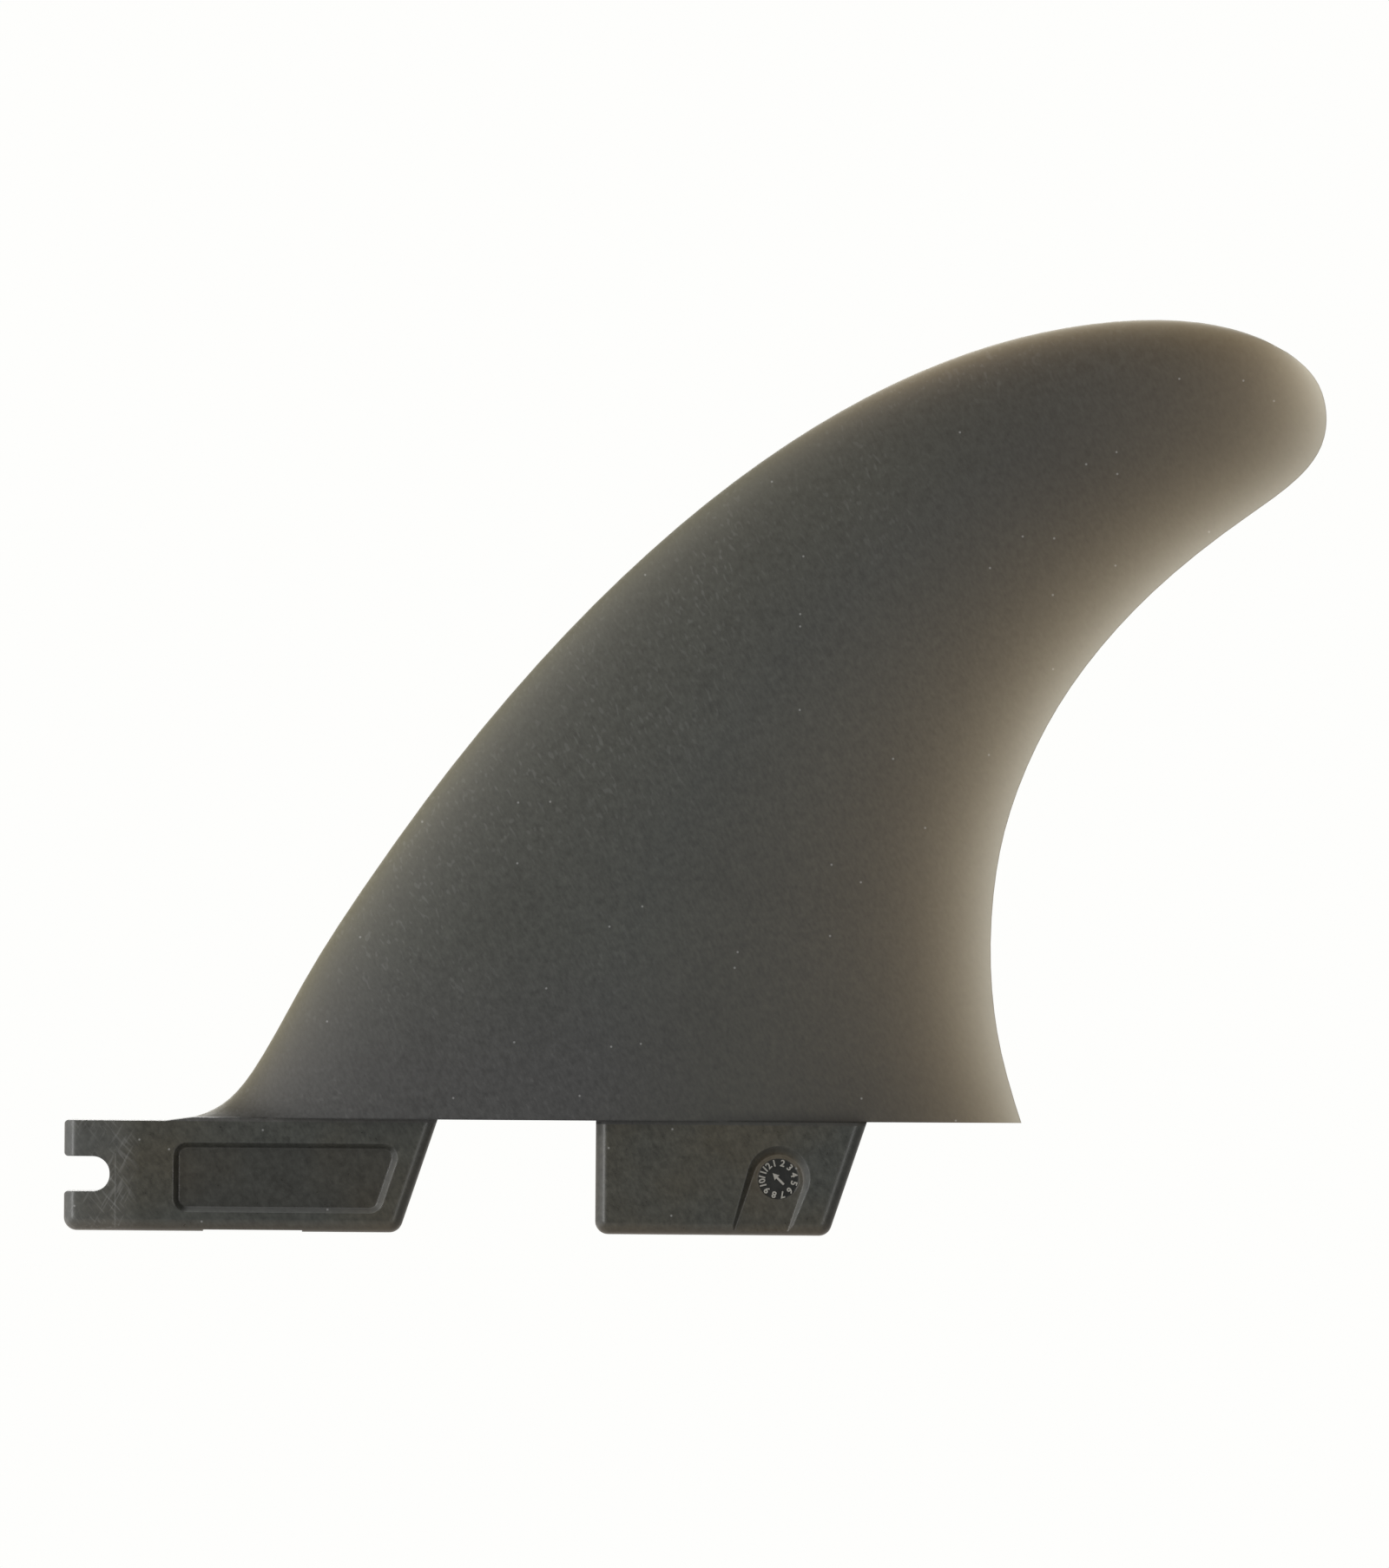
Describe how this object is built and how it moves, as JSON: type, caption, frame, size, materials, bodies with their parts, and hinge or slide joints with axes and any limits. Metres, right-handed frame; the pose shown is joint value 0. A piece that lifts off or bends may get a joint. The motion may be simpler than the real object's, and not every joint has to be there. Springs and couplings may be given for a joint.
{
  "type": "surfboard fin",
  "caption": "Swept side fin for a surfboard: a foiled blade with a flat inner face, moulded in one piece with tabs that plug into a box in the board.",
  "frame": {"origin": "on the plane of the board's skin, midway between the two tabs and in the middle of their thickness", "axes": "+X back along the board towards the trailing edge and the tip, +Y towards the flat inner face, +Z away from the board along the blade's depth"},
  "size_m": [0.1541, 0.0084, 0.1126],
  "materials": {
    "smoke_plastic": "satin, moulded, slightly see-through where thin"
  },
  "bodies": {
    "root": {"fin": "smoke_plastic"}
  },
  "joints": []
}
